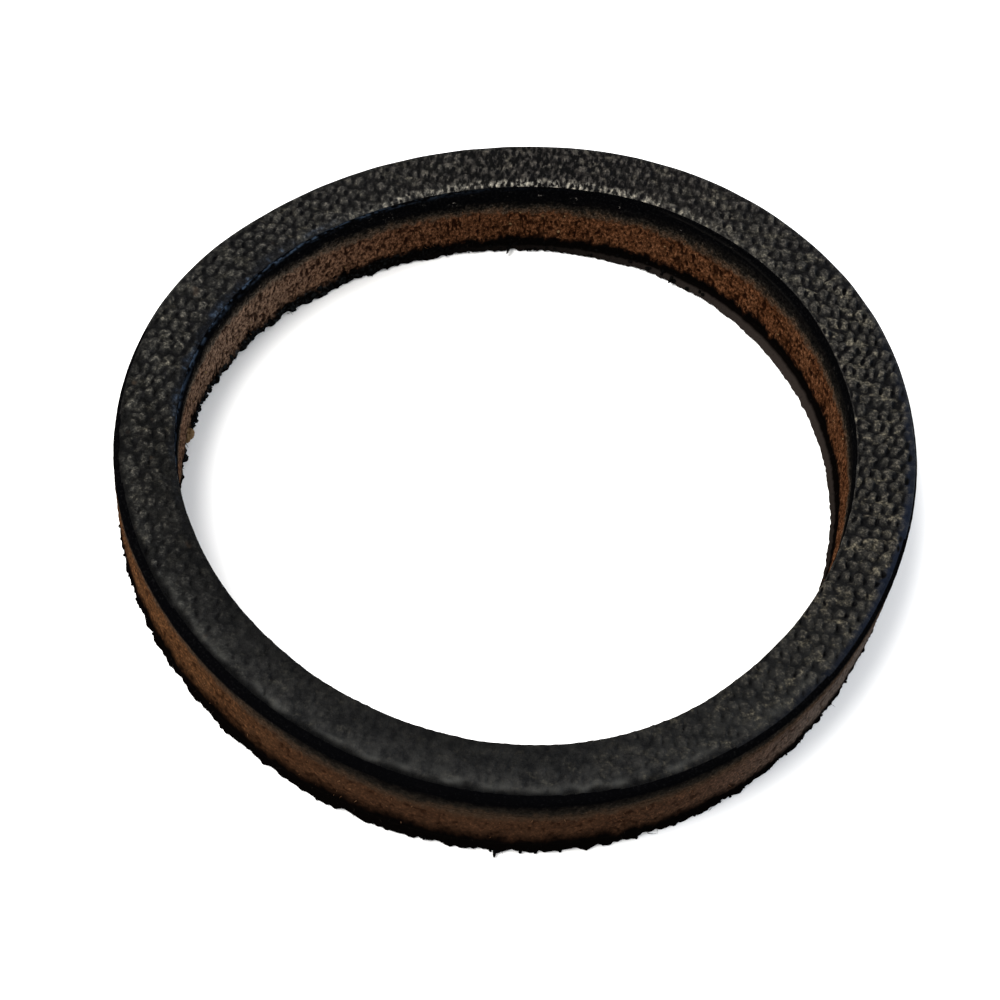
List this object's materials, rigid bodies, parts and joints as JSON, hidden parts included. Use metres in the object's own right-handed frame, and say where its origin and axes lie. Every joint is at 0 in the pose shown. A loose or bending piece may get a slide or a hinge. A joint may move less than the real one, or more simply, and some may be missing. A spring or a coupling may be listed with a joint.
{
  "type": "saxophone ligature",
  "caption": "Closed leather ring ligature with an embossed black face, a tan core and a napped black underside; it slides over mouthpiece and reed and grips by a snug bore.",
  "frame": {"origin": "centre of the bore at the level of the flat underside", "axes": "+Z along the bore's axis, up through the ring towards the embossed grain face; the ring is round, so +X and +Y are only fixed by the mesh"},
  "size_m": [0.0302, 0.0302, 0.0043],
  "materials": {
    "embossed_black_leather": "black pebble-embossed grain, satin pigment finish with burnished edges",
    "tan_leather_core": "raw cut edge of vegetable-tanned leather, fibrous and matt",
    "black_napped_leather": "black-dyed flesh side, napped, with ragged fibres along the cut",
    "contact_cement": "dried film of contact cement, satin"
  },
  "bodies": {
    "root": {"grain_facing": "embossed_black_leather", "upper_cement_film": "contact_cement", "leather_core": "tan_leather_core", "lower_cement_film": "contact_cement", "flesh_backing": "black_napped_leather"}
  },
  "joints": []
}
